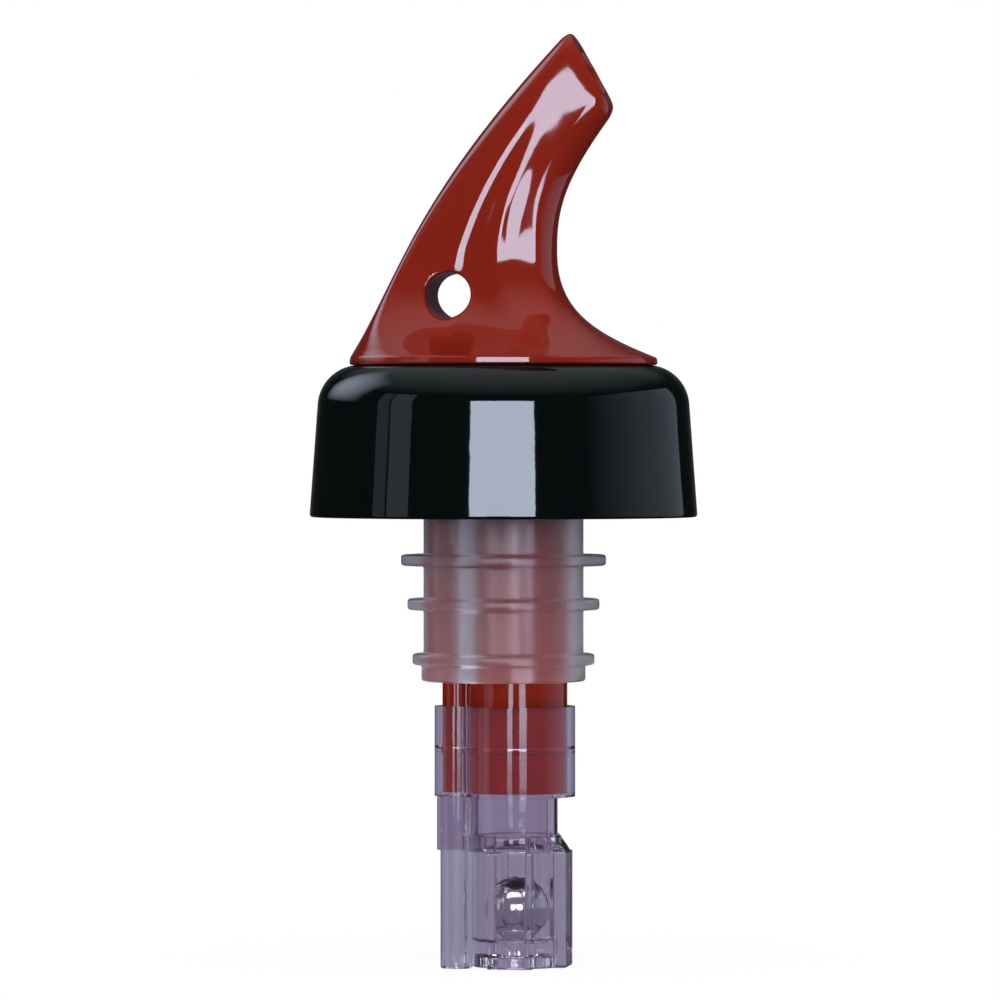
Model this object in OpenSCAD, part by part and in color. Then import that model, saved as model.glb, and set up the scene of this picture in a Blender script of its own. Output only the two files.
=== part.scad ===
// Ball-metered liquor pourer. Millimetres, +Z up, bottle lip seat at z = 0,
// bottle axis on Z, spout pours towards +X.

/* [Collar] */
// Radius of the collar's lower edge
collar_r = 19.4; // [18:0.1:22]
// Radius of the collar where the shoulder starts
collar_top_r = 18.6; // [17:0.1:20]
// Rounding radius of the collar's shoulder
collar_shoulder = 4.2; // [3:0.1:5.5]
// How far the collar hangs below the lip seat
collar_drop = 11.7; // [8:0.1:16]
// Thickness of the collar's side wall
collar_wall = 1.6; // [1.2:0.1:2.2]
// Thickness of the collar's top plate
plate_t = 2; // [1.5:0.1:3]

/* [Cork] */
// Radius of the cork's body
cork_r = 8; // [7.6:0.05:8.4]
// Length of the cork below the lip seat
cork_len = 28.1; // [24:0.1:32]
// Radius of the cork's head
head_r = 12; // [10.5:0.1:13.5]
// Thickness of the cork's head
head_t = 1.5; // [1:0.1:2.5]
// How far the upper fin stands out from the body
fin_1_reach = 2.25; // [1.5:0.05:3]
// How far the middle fin stands out from the body
fin_2_reach = 1.6; // [1:0.05:2.5]
// How far the lower fin stands out from the body
fin_3_reach = 1.1; // [0.6:0.05:2]
// Height of the lower fin's middle above the cork's end
fin_3_up = 2.2; // [1:0.1:4]
// Spacing of the lower and the middle fin
fin_low_gap = 5.5; // [3:0.1:6]
// Spacing of the middle and the upper fin
fin_high_gap = 4.4; // [3:0.1:6]
// Thickness of a fin
fin_t = 1.1; // [0.8:0.05:1.4]
// Chamfer around a fin's edge
fin_chamfer = 0.25; // [0.1:0.05:0.35]
// How far the cork's lower end stands out from the body
foot_reach = 0.2; // [0.1:0.05:0.4]

/* [Stem] */
// Offset of the liquid bore in front of the bottle axis
main_x = 1.4; // [1.2:0.1:1.6]
// Radius of the stem around the liquid bore
main_r = 5; // [4.8:0.05:5.2]
// Radius of the liquid bore
bore_r = 2.5; // [2.2:0.05:2.6]
// Radius of the stem around the vent bore
lobe_r = 1.4; // [1.2:0.05:1.5]
// Radius of the vent bore in the stem
vent_r = 0.75; // [0.5:0.05:0.8]
// Half thickness of the web between the two bores
web_half = 0.9; // [0.7:0.05:1.1]
// Length of stem seen between cork and chamber
stem_gap = 2.5; // [1.5:0.1:4]
// Length of stem held in the spout
stem_hold = 3; // [2:0.1:4]
// Half angle of the valve seat
seat_angle = 35; // [30:1:40]
// How far the seat's mouth is wider than the ball
seat_lead = 0.2; // [0.1:0.05:0.4]
// How far the snap bead stands out from the stem
bead = 0.15; // [0.1:0.01:0.2]
// Height of the snap bead
bead_h = 0.6; // [0.4:0.1:1]

/* [Spout] */
// Radius of the skirt that sits on the collar
skirt_r = 15.4; // [14.4:0.1:16.2]
// Height of the skirt's plain edge
skirt_edge = 0.7; // [0.5:0.1:1.2]
// Height of the spout above the collar
spout_h = 33.4; // [30:0.1:37]
// Height of the spout's waist above the collar
waist_h = 11.6; // [10.5:0.1:13]
// Front of the waist from the bottle axis
waist_front = 5.35; // [5:0.05:6]
// Back of the waist from the bottle axis
waist_back = 9.7; // [9:0.1:10.4]
// Half thickness of the waist
waist_half = 3.6; // [3.4:0.05:4.2]
// Reach of the mouth's lower lip in front of the bottle axis
spout_reach = 11.2; // [10:0.1:13]
// Length of the slanted mouth
mouth_len = 9.2; // [8.6:0.1:10.2]
// Lean of the mouth's face from upright
mouth_lean = 29; // [26:0.5:33]
// Half thickness of the mouth
mouth_half = 2.8; // [2.7:0.05:3.2]
// Rounding around the mouth
mouth_rim = 0.55; // [0.2:0.05:0.7]
// Radius of the duct at the mouth
duct_mouth_r = 2; // [1.8:0.05:2.1]
// Radius of the cross vent hole
hole_r = 2.3; // [1.8:0.05:2.4]
// Height of the cross vent hole above the collar
hole_h = 6.9; // [6.5:0.1:8]
// Distance of the cross vent hole behind the vent's line
hole_off = 0.2; // [0:0.05:0.5]

/* [Chamber] */
// Length of stem held in the chamber
socket_len = 8.6; // [6:0.1:11]
// Thickness of the socket's wall
socket_wall = 0.75; // [0.6:0.05:0.9]
// Thickness of the shoulder below the stem
shoulder_t = 0.4; // [0.3:0.05:0.8]
// Radius of the bore in the neck
neck_bore_r = 4.45; // [4.35:0.05:4.5]
// Thickness of the neck's wall
neck_wall = 0.75; // [0.6:0.05:0.9]
// Height of the liquid window
window_h = 3.9; // [3:0.1:5]
// Distance of the window's face from the ball's line
window_off = 3.5; // [3.2:0.05:3.8]
// Height of the ring that holds the cup
ring_h = 1.5; // [1.2:0.1:2]
// Radius of the ring that holds the cup
ring_r = 5.4; // [5.3:0.05:5.6]
// Radius of the sleeve around the breather tube
sleeve_r = 1.95; // [1.9:0.05:2.1]

/* [Cup] */
// Length of the cup below the ring
cup_len = 11.6; // [10:0.1:14]
// Radius of the cup's round wall
cup_r = 4.55; // [4.3:0.05:4.6]
// Width of a rib on the cup
rib_w = 4.5; // [3.5:0.1:5]
// Reach of a rib from the ball's line
rib_reach = 5.25; // [5:0.05:5.6]
// Wall left at each side of the flute in a rib
flute_side = 0.75; // [0.6:0.05:1]
// Wall left behind a flute in the cup's spigot
flute_wall = 0.42; // [0.3:0.02:0.6]
// Thickness of the cup's floor below the ball
floor_t = 2.5; // [2:0.1:3]
// Depth of the hollow under the floor
foot_hollow = 1.2; // [0.8:0.1:1.4]
// Width of the rim left around that hollow, inside the ball's bore
foot_rim = 0.6; // [0.3:0.1:1]
// Radius of a bleed hole
bleed_r = 0.5; // [0.3:0.05:0.6]
// Spacing of the two bleed holes
bleed_gap = 1.8; // [1.6:0.1:2.4]

/* [Tube and ball] */
// Radius of the breather tube
tube_r = 1.6; // [1.5:0.05:1.65]
// Gap between the breather tube and the cup
tube_gap = 0.02; // [0.01:0.01:0.1]
// Wall between the breather tube and the neck's bore
tube_web = 0.12; // [0.1:0.01:0.3]
// Radius of the breather tube's bore
tube_bore_r = 0.85; // [0.6:0.05:1]
// How far the breather tube stands below the cup
tube_show = 0.3; // [0.1:0.1:1]
// Radius of the ball
ball_r = 3.175; // [3:0.025:3.2]

/* [Fits] */
// Clearance around the stem in what it plugs into
stem_fit = 0.04; // [0.02:0.01:0.08]
// Clearance of the collar's bore around the stem
collar_fit = 0.2; // [0.1:0.05:0.4]
// Clearance of the cup's spigot and of the tube in the chamber
plug_fit = 0.03; // [0.02:0.01:0.06]
// Clearance around the ball in the cup
ball_fit = 0.28; // [0.2:0.02:0.36]
// Gap that the ball keeps to its floor and to its seat
ball_gap = 0.1; // [0.05:0.05:0.2]

/* [Hidden] */
$fn = 64;
cut = 1;
collar_top = head_t + plate_t;
cork_end = -cork_len;
fin_3_z = cork_end + fin_3_up;
fin_2_z = fin_3_z + fin_low_gap;
fin_1_z = fin_2_z + fin_high_gap;
socket_top = cork_end - stem_gap;
stem_end = socket_top - socket_len;
stem_top = collar_top + stem_hold;
bead_z = (socket_top + stem_end) / 2;
socket_end = stem_end - shoulder_t;
window_end = socket_end - window_h;
ring_end = window_end - ring_h;
cup_end = ring_end - cup_len;
floor_z = cup_end + floor_t;
ball_rest = floor_z + ball_gap + ball_r;
tube_top = socket_end;
tube_end = cup_end - tube_show;
// The vent's line lies behind the ball's line, clear of the cup and its spigot
vent_x = main_x - max(cup_r + tube_gap, neck_bore_r + tube_web) - tube_r;
stem_out = max(main_x + main_r, lobe_r - vent_x);
inner_shoulder = collar_shoulder - collar_wall;
cup_bore_r = ball_r + ball_fit;
spigot_r = neck_bore_r - plug_fit;
flute_w = rib_w - 2 * flute_side;
seat_r = ball_r + seat_lead;
seat_h = (seat_r - bore_r) / tan(seat_angle);

// Spout curves as [x, z] control points, in the plane of symmetry
edge_z = collar_top + skirt_edge;
waist_z = collar_top + waist_h;
lip = [spout_reach, collar_top + spout_h - mouth_len * cos(mouth_lean)];
apex = lip + mouth_len * [-sin(mouth_lean), cos(mouth_lean)];
back_rise = (skirt_r - waist_back) / (waist_z - edge_z);
low_z = [for (k = [0, 0.25, 0.48, 1]) edge_z + k * (waist_z - edge_z)];
low_front = [for (k = [1, 0.29, -0.01, 0]) waist_front + k * (skirt_r - waist_front)];
low_back = [for (k = [1, 0.69, 0.52, 0]) -waist_back - k * (skirt_r - waist_back)];
back_low = [for (k = [0:3]) [low_back[k], low_z[k]]];
front_low = [for (k = [0:3]) [low_front[k], low_z[k]]];
back_waist = [-waist_back, waist_z];
front_waist = [waist_front, waist_z];
rise = apex[1] - waist_z;
back_high = [
    back_waist,
    back_waist + 0.36 * rise * [back_rise, 1],
    apex - [0.4 * (apex[0] + waist_back), 0.315 * rise],
    apex
];
front_high = [
    front_waist,
    front_waist + [0, 0.295 * (lip[1] - waist_z)],
    lip - [0.86 * (lip[0] - waist_front), 0.485 * (lip[1] - waist_z)],
    lip
];
mouth_mid = (lip + apex) / 2;
// Share of the upper curves that the mouth's rounding takes up
rim_share = 1.7 * mouth_rim / rise;
duct_path = [
    [main_x, stem_top - cut],
    [main_x, stem_top + 0.42 * (mouth_mid[1] - stem_top)],
    mouth_mid - [0.8 * (mouth_mid[0] - main_x), 0.33 * (mouth_mid[1] - stem_top)],
    mouth_mid
];
around = 64;
low_steps = 14;
high_steps = 14;
duct_steps = 14;
// Sharpness of the line between the spout's round edges and its flanks
crease = 7;

// Value at t on a cubic curve with control values p
function curve(p, t) =
    pow(1 - t, 3) * p[0] + 3 * t * pow(1 - t, 2) * p[1]
    + 3 * t * t * (1 - t) * p[2] + pow(t, 3) * p[3];

// Half thickness of the flanks at g, from 0 at the skirt over 1 at the waist to 2 at the mouth
function flank_half(g) =
    waist_half + (skirt_r - waist_half) * pow(max(0, 1 - g / 1.5), 4.6)
    - (waist_half - mouth_half) * pow(max(0, (g - 1.5) / 0.5), 4);

// Share of the flanks' relief at g, which fades out towards the skirt and the mouth
function relief(g) =
    let (t = min(1, max(0, (g - 1.2) / 0.6)))
    1 - pow(min(0, g - 1), 4) - t * t * (3 - 2 * t);

// Flank at g and u: sloped from back to front, with the duct's bulge and a fine ridge
function flank(g, u) =
    let (duct = 0.18 * exp(-pow((u - 0.646 + 0.36 * g) / 0.26, 2)))
    let (rise = 0.04 + 0.07 * max(0, g - 1))
    let (ridge = rise * exp(-pow((u + 0.077 + 0.18 * g) / 0.11, 2)))
    flank_half(g) * (1 + relief(g) * (0.12 * u + duct + ridge));

// Closed section at g between back point b and front point f
function section(b, f, g) = [
    for (i = [0:around - 1])
        let (u = cos(360 * i / around))
        let (v = sin(360 * i / around))
        let (arc = norm(f - b) / 2 * abs(v))
        let (hold = 1 - pow(max(0, 1 - g), 12))
        let (y = arc / pow(1 + hold * pow(arc / flank(g, u), crease), 1 / crease))
        let (q = (b + f) / 2 + u * (f - b) / 2)
        [q[0], sign(v) * y, q[1]]
];

// Section of the spout below its waist, and above it
function low_section(t) = section(curve(back_low, t), curve(front_low, t), t);
function high_section(t) = section(curve(back_high, t), curve(front_high, t), 1 + t);

// Section at angle a of the mouth's rounding, drawn in towards the mouth's middle
function mouth_section(a) =
    let (c = [mouth_mid[0], 0, mouth_mid[1]])
    let (drawn = 1 - 2 * mouth_rim * (1 - cos(a)) / mouth_len)
    [for (p = high_section(1 - rim_share * (1 - sin(a)))) c + (p - c) * drawn];

// Solid through a list of rings that all hold n points
module loft(rings, n) {
    last = len(rings) - 1;
    polyhedron(
        points = [for (ring = rings) for (p = ring) p],
        faces = concat(
            [[for (i = [0:n - 1]) i]],
            [for (k = [0:last - 1]) for (i = [0:n - 1])
                [k * n + i, (k + 1) * n + i, k * n + (i + 1) % n]],
            [for (k = [0:last - 1]) for (i = [0:n - 1])
                [k * n + (i + 1) % n, (k + 1) * n + i, (k + 1) * n + (i + 1) % n]],
            [[for (i = [n - 1:-1:0]) last * n + i]]
        )
    );
}

// Ring of n points around the duct's path at t
function duct_ring(t, n) =
    let (c = curve(duct_path, t))
    let (d = curve(duct_path, t + 0.01) - curve(duct_path, t - 0.01))
    let (w = [d[1], -d[0]] / norm(d))
    let (r = bore_r + (duct_mouth_r - bore_r) * t)
    [for (i = [0:n - 1])
        [c[0] + r * cos(360 * i / n) * w[0],
         r * sin(360 * i / n),
         c[1] + r * cos(360 * i / n) * w[1]]];

// Outline of the twin-bore stem, grown by g
module keyhole(g = 0) {
    translate([main_x, 0])
        circle(r = main_r + g);
    translate([vent_x, 0])
        circle(r = lobe_r + g);
    translate([vent_x, -web_half - g])
        square([main_x - vent_x, 2 * (web_half + g)]);
}

module spout() color([0.62, 0.07, 0.05]) difference() {
    union() {
        translate([0, 0, collar_top])
            cylinder(r = skirt_r, h = skirt_edge);
        loft(concat(
            [[for (p = low_section(0)) [p[0] * 0.99, p[1] * 0.99, edge_z - skirt_edge / 2]]],
            [for (k = [1:low_steps]) low_section(k / low_steps)],
            [for (k = [1:high_steps]) high_section((1 - rim_share) * k / high_steps)],
            [for (a = [30, 60, 90]) mouth_section(a)]
        ), around);
    }
    // pocket for the stem
    translate([0, 0, collar_top - cut])
        linear_extrude(stem_hold + cut)
            keyhole(stem_fit);
    // liquid duct, run on past the mouth
    loft(concat(
        [for (k = [0:duct_steps]) duct_ring(k / duct_steps, 24)],
        [duct_ring(1.12, 24)]
    ), 24);
    // vent bore and the cross hole that it opens into
    translate([vent_x, 0, stem_top - cut])
        cylinder(r = vent_r, h = hole_h - stem_hold + cut);
    translate([vent_x - hole_off, 0, collar_top + hole_h])
        rotate([90, 0, 0])
            cylinder(r = hole_r, h = 2 * skirt_r, center = true);
}

module stem() color([0.58, 0.06, 0.05]) difference() {
    union() {
        translate([0, 0, stem_end])
            linear_extrude(stem_top - stem_end)
                keyhole();
        translate([0, 0, bead_z - bead_h / 2])
            linear_extrude(bead_h)
                keyhole(bead);
    }
    translate([main_x, 0, stem_end - cut])
        cylinder(r = bore_r, h = stem_top - stem_end + 2 * cut);
    // valve seat for the ball
    translate([main_x, 0, stem_end])
        cylinder(r1 = seat_r, r2 = bore_r, h = seat_h);
    translate([vent_x, 0, stem_end - cut])
        cylinder(r = vent_r, h = stem_top - stem_end + 2 * cut);
}

module collar() color([0.03, 0.03, 0.03]) difference() {
    rotate_extrude() {
        polygon([
            [0, -collar_drop],
            [collar_r, -collar_drop],
            [collar_top_r, collar_top - collar_shoulder],
            [collar_top_r - collar_shoulder, collar_top],
            [0, collar_top]
        ]);
        translate([collar_top_r - collar_shoulder, collar_top - collar_shoulder])
            circle(r = collar_shoulder);
    }
    // hollow over the bottle's lip
    rotate_extrude() {
        polygon([
            [0, -collar_drop - cut],
            [collar_r - collar_wall, -collar_drop - cut],
            [collar_r - collar_wall, -collar_drop],
            [collar_top_r - collar_wall, head_t - inner_shoulder],
            [collar_top_r - collar_shoulder, head_t],
            [0, head_t]
        ]);
        translate([collar_top_r - collar_shoulder, head_t - inner_shoulder])
            circle(r = inner_shoulder);
    }
    translate([0, 0, head_t - cut])
        cylinder(r = stem_out + collar_fit, h = plate_t + 2 * cut);
}

// Sealing fin of radius r whose middle lies at height z
module fin(z, r) {
    translate([0, 0, z])
        rotate_extrude()
            polygon([
                [0, -fin_t / 2],
                [r - fin_chamfer, -fin_t / 2],
                [r, -fin_t / 2 + fin_chamfer],
                [r, fin_t / 2 - fin_chamfer],
                [r - fin_chamfer, fin_t / 2],
                [0, fin_t / 2]
            ]);
}

module cork() color([0.86, 0.84, 0.86]) difference() {
    union() {
        translate([0, 0, cork_end])
            cylinder(r = cork_r, h = cork_len + head_t);
        cylinder(r = head_r, h = head_t);
        fin(fin_1_z, cork_r + fin_1_reach);
        fin(fin_2_z, cork_r + fin_2_reach);
        fin(fin_3_z, cork_r + fin_3_reach);
        translate([0, 0, cork_end])
            cylinder(r = cork_r + foot_reach, h = fin_3_up);
    }
    translate([0, 0, cork_end - cut])
        linear_extrude(cork_len + head_t + 2 * cut)
            keyhole(stem_fit);
}

module chamber() color([0.72, 0.70, 0.82]) difference() {
    union() {
        translate([0, 0, socket_end])
            linear_extrude(socket_top - socket_end)
                keyhole(stem_fit + socket_wall);
        translate([main_x, 0, ring_end])
            cylinder(r = neck_bore_r + neck_wall, h = socket_end - ring_end + shoulder_t / 2);
        translate([main_x, 0, ring_end])
            cylinder(r = ring_r, h = ring_h);
        // sleeve for the breather tube
        translate([vent_x, 0, ring_end])
            cylinder(r = sleeve_r, h = socket_end - ring_end + shoulder_t / 2);
        translate([vent_x, -web_half, ring_end])
            cube([main_x - vent_x, 2 * web_half, socket_end - ring_end]);
    }
    // socket for the stem, with the groove for its snap bead
    translate([0, 0, stem_end])
        linear_extrude(socket_len + cut)
            keyhole(stem_fit);
    translate([0, 0, bead_z - bead_h / 2 - stem_fit])
        linear_extrude(bead_h + 2 * stem_fit)
            keyhole(bead + stem_fit);
    translate([main_x, 0, ring_end - cut])
        cylinder(r = neck_bore_r, h = stem_end - ring_end + 2 * cut);
    translate([vent_x, 0, ring_end - cut])
        cylinder(r = tube_r + plug_fit, h = tube_top - ring_end + cut);
    translate([vent_x, 0, socket_end - cut])
        cylinder(r = vent_r, h = shoulder_t + 2 * cut);
    // liquid window with a sill that slopes outwards
    translate([main_x + window_off, -main_r - 2, window_end])
        cube([main_r, 2 * main_r + 4, window_h]);
    translate([main_x + window_off, 0, window_end])
        rotate([0, 45, 0])
            translate([0, -main_r - 2, -0.01])
                cube([2 * main_r, 2 * main_r + 4, main_r]);
}

module metering_cup() color([0.74, 0.71, 0.84]) difference() {
    union() {
        translate([main_x, 0, cup_end])
            cylinder(r = cup_r, h = cup_len);
        translate([main_x, 0, ring_end - cut])
            cylinder(r = spigot_r, h = ring_h + cut);
        for (a = [-90, 0, 90])
            translate([main_x, 0, cup_end])
                rotate([0, 0, a])
                    translate([0, -rib_w / 2, 0])
                        cube([rib_reach, rib_w, cup_len]);
    }
    translate([main_x, 0, floor_z])
        cylinder(r = cup_bore_r, h = cup_len + ring_h);
    // flutes that let the liquid pass the ball
    for (a = [-90, 0, 90])
        translate([main_x, 0, floor_z])
            rotate([0, 0, a])
                translate([0, -flute_w / 2, 0])
                    cube([spigot_r - flute_wall, flute_w, cup_len + ring_h]);
    // hollow foot and bleed holes
    translate([main_x, 0, cup_end - cut])
        cylinder(r = cup_bore_r - foot_rim, h = foot_hollow + cut);
    for (side = [-1, 1])
        translate([main_x + side * bleed_gap / 2, 0, cup_end])
            cylinder(r = bleed_r, h = floor_t + cut);
}

module breather_tube() color([0.75, 0.76, 0.84]) difference() {
    translate([vent_x, 0, tube_end])
        cylinder(r = tube_r, h = tube_top - tube_end);
    translate([vent_x, 0, tube_end - cut])
        cylinder(r = tube_bore_r, h = tube_top - tube_end + 2 * cut);
}

module ball() color([0.6, 0.6, 0.62])
    translate([main_x, 0, ball_rest])
        sphere(r = ball_r);

spout();
stem();
collar();
cork();
chamber();
metering_cup();
breather_tube();
ball();
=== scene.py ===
"""Looks of a ball-metered liquor pourer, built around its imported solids.

Metres, +Z up, bottle lip seat at z = 0, bottle axis on Z, spout pours towards +X.
"""

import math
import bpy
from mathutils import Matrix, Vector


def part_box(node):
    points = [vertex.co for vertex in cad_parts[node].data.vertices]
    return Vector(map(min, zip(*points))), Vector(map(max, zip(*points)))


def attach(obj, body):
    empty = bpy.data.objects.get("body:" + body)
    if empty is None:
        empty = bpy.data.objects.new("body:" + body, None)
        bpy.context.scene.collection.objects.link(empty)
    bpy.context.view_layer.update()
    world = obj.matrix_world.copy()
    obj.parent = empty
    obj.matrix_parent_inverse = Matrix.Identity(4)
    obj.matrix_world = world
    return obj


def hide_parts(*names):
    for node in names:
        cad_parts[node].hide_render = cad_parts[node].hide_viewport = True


bl_info = {
    "name": "Liquor pourer",
    "version": (1, 0, 0),
    "blender": (4, 5, 0),
    "location": "View3D > Sidebar > Pourer",
    "description": "Builds the spout, collar, cork and clear metering chamber of a pourer",
    "category": "Object",
}

from contextlib import contextmanager

import bmesh
import bpy
import numpy as np
from bpy.props import FloatProperty, FloatVectorProperty, IntProperty, PointerProperty
from mathutils import Vector

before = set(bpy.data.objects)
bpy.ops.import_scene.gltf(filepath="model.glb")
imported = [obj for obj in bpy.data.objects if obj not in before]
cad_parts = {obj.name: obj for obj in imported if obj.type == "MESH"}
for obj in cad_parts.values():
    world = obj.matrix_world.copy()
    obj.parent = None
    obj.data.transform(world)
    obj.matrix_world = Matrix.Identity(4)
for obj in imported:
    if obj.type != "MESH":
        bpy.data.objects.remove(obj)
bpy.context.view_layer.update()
MM = 0.001
OVERRUN = 0.001  # how far a cutter runs past the face that it opens
WELD = 2e-6  # points closer than this become one
CREASE = 38.0  # an edge sharper than this, in degrees, stays a crease


# Property helpers


def length(name, description, mm):
    """A length property with its default in millimetres."""
    return FloatProperty(
        name=name, description=description, default=mm * MM, unit="LENGTH", precision=5
    )


def level(name, description, node, corner):
    """A height property whose default is a CAD node's lowest (0) or highest (1) point."""
    return FloatProperty(
        name=name,
        description=description,
        default=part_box(node)[corner].z,
        unit="LENGTH",
        precision=5,
    )


def colour(name, description, rgb):
    """A linear colour property."""
    return FloatVectorProperty(
        name=name, description=description, default=(*rgb, 1.0), size=4, subtype="COLOR",
        min=0.0, max=1.0,
    )


class StemSizes(bpy.types.PropertyGroup):
    """Sizes of the twin-bore stem, which every clear piece follows."""

    line_x: length("Ball's line", "Offset of the liquid bore in front of the bottle axis", 1.4)
    main_r: length("Main radius", "Radius of the stem around the liquid bore", 5.0)
    bore_r: length("Bore radius", "Radius of the liquid bore", 2.5)
    vent_x: length("Vent's line", "Offset of the vent bore, behind the bottle axis", -4.77)
    lobe_r: length("Lobe radius", "Radius of the stem around the vent bore", 1.4)
    vent_r: length("Vent radius", "Radius of the vent bore", 0.75)
    web_half: length("Half web", "Half thickness of the web between the bores", 0.9)
    seat_r: length("Seat radius", "Radius of the valve seat's mouth", 3.375)
    seat_h: length("Seat height", "Height of the valve seat's cone", 1.25)
    bead: length("Snap bead", "How far the snap bead stands out", 0.15)
    bead_h: length("Bead height", "Height of the snap bead", 0.6)
    fit: length("Fit", "Clearance around the stem in what it plugs into", 0.04)
    top: level("Top", "Height of the stem's upper end", "stem", 1)
    end: level("End", "Height of the stem's lower end", "stem", 0)


class SpoutSizes(bpy.types.PropertyGroup):
    """Sizes of the curved spout."""

    skirt_r: length("Skirt radius", "Radius of the skirt on the collar", 15.4)
    skirt_edge: length("Skirt edge", "Height of the skirt's plain edge", 0.7)
    height: length("Height", "Height of the spout above the collar", 33.4)
    waist_h: length("Waist height", "Height of the waist above the collar", 11.6)
    waist_front: length("Waist front", "Front of the waist from the bottle axis", 5.35)
    waist_back: length("Waist back", "Back of the waist from the bottle axis", 9.7)
    waist_half: length("Half waist", "Half thickness of the waist", 3.6)
    reach: length("Reach", "Reach of the lower lip from the bottle axis", 11.2)
    mouth_len: length("Mouth length", "Length of the slanted mouth", 9.2)
    mouth_half: length("Half mouth", "Half thickness of the mouth", 2.8)
    mouth_rim: length("Mouth rim", "Rounding around the mouth", 0.55)
    duct_r: length("Duct radius", "Radius of the duct at the mouth", 2.0)
    hole_r: length("Hole radius", "Radius of the cross vent hole", 2.3)
    hole_h: length("Hole height", "Height of the cross vent hole above the collar", 6.9)
    hole_off: length("Hole offset", "Distance of the cross vent hole behind the vent's line", 0.2)
    hole_edge: length("Hole edge", "Rounding of the cross vent hole's rim", 0.4)
    mouth_lean: FloatProperty(
        name="Mouth lean", description="Lean of the mouth's face from upright",
        default=math.radians(29.0), subtype="ANGLE",
    )


class CollarSizes(bpy.types.PropertyGroup):
    """Sizes of the black collar."""

    low_r: length("Lower radius", "Radius of the collar's lower edge", 19.4)
    top_r: length("Upper radius", "Radius where the shoulder starts", 18.6)
    shoulder: length("Shoulder", "Rounding radius of the shoulder", 4.2)
    wall: length("Wall", "Thickness of the side wall", 1.6)
    plate: length("Plate", "Thickness of the top plate", 2.0)
    bore_r: length("Bore radius", "Radius of the hole for the stem", 6.6)
    edge: length("Edge", "Rounding of the lower edge", 0.3)
    top: level("Top", "Height of the collar's top", "collar", 1)
    end: level("End", "Height of the collar's lower edge", "collar", 0)


class CorkSizes(bpy.types.PropertyGroup):
    """Sizes of the soft finned cork."""

    body_r: length("Body radius", "Radius of the cork's body", 8.0)
    head_r: length("Head radius", "Radius of the head under the collar", 12.0)
    head_t: length("Head thickness", "Thickness of the head", 1.5)
    fin_t: length("Fin thickness", "Thickness of a sealing fin", 1.1)
    fin_edge: length("Fin edge", "Rounding around a fin", 0.3)
    fin_1: length("Upper fin", "Height of the upper fin", -16.0)
    fin_2: length("Middle fin", "Height of the middle fin", -20.4)
    fin_3: length("Lower fin", "Height of the lower fin", -25.9)
    reach_1: length("Upper reach", "How far the upper fin stands out", 2.25)
    reach_2: length("Middle reach", "How far the middle fin stands out", 1.6)
    reach_3: length("Lower reach", "How far the lower fin stands out", 1.1)
    foot_reach: length("Foot reach", "How far the lower end stands out", 0.2)
    end: level("End", "Height of the cork's lower end", "cork", 0)


class ChamberSizes(bpy.types.PropertyGroup):
    """Sizes of the clear chamber, its cup, the breather tube and the ball."""

    wall: length("Wall", "Thickness of the socket and of the neck", 0.75)
    shoulder_t: length("Shoulder", "Thickness of the shoulder below the stem", 0.4)
    neck_r: length("Neck bore", "Radius of the bore in the neck", 4.45)
    window_off: length("Window face", "Distance of the window's face from the ball's line", 3.5)
    ring_h: length("Ring height", "Height of the ring that holds the cup", 1.5)
    ring_r: length("Ring radius", "Radius of the ring that holds the cup", 5.4)
    sleeve_r: length("Sleeve radius", "Radius of the sleeve around the tube", 1.95)
    cup_r: length("Cup radius", "Radius of the cup's round wall", 4.55)
    cup_bore: length("Cup bore", "Radius of the ball's bore", 3.455)
    rib_w: length("Rib width", "Width of a rib on the cup", 4.5)
    rib_reach: length("Rib reach", "Reach of a rib from the ball's line", 5.25)
    rib_edge: length("Rib edge", "Softness of the ribs' corners", 0.16)
    flute_w: length("Flute width", "Width of the flute in a rib", 3.0)
    flute_reach: length("Flute reach", "Reach of a flute from the ball's line", 4.0)
    spigot_r: length("Spigot radius", "Radius of the cup's spigot in the ring", 4.42)
    floor_t: length("Floor", "Thickness of the cup's floor", 2.5)
    foot_r: length("Foot radius", "Radius of the hollow under the floor", 2.855)
    foot_hollow: length("Foot hollow", "Depth of the hollow under the floor", 1.2)
    bleed_r: length("Bleed radius", "Radius of a bleed hole", 0.5)
    bleed_gap: length("Bleed spacing", "Spacing of the two bleed holes", 1.8)
    tube_r: length("Tube radius", "Radius of the breather tube", 1.6)
    tube_bore: length("Tube bore", "Radius of the breather tube's bore", 0.85)
    ball_r: length("Ball radius", "Radius of the steel ball", 3.175)
    edge: length("Edge", "Rounding of the clear pieces' edges", 0.14)
    top: level("Top", "Height of the socket's rim", "chamber", 1)
    ring_end: level("Ring end", "Height of the ring's lower face", "chamber", 0)
    cup_end: level("Cup end", "Height of the cup's foot", "metering_cup", 0)
    tube_top: level("Tube top", "Height of the breather tube's upper end", "breather_tube", 1)
    tube_end: level("Tube end", "Height of the breather tube's lower end", "breather_tube", 0)


class Finishes(bpy.types.PropertyGroup):
    """Colours of the pourer's materials and the fineness of its curves."""

    red: colour("Red", "Gloss red of the spout and stem", (0.160, 0.0105, 0.0045))
    black: colour("Black", "Gloss black of the collar", (0.0012, 0.0022, 0.0020))
    cork: colour("Cork", "Milky plastic of the cork", (0.93, 0.89, 0.92))
    clear: colour("Clear", "Tint that the chamber lets through", (0.90, 0.81, 0.89))
    cup: colour("Cup", "Tint that the metering cup lets through", (0.94, 0.88, 0.93))
    tube: colour("Tube", "Tint that the breather tube lets through", (0.95, 0.94, 0.96))
    steel: colour("Steel", "Polished steel of the ball", (0.60, 0.60, 0.62))
    steps: IntProperty(
        name="Steps", description="Points around a turned piece", default=160, min=48, max=240
    )


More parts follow.
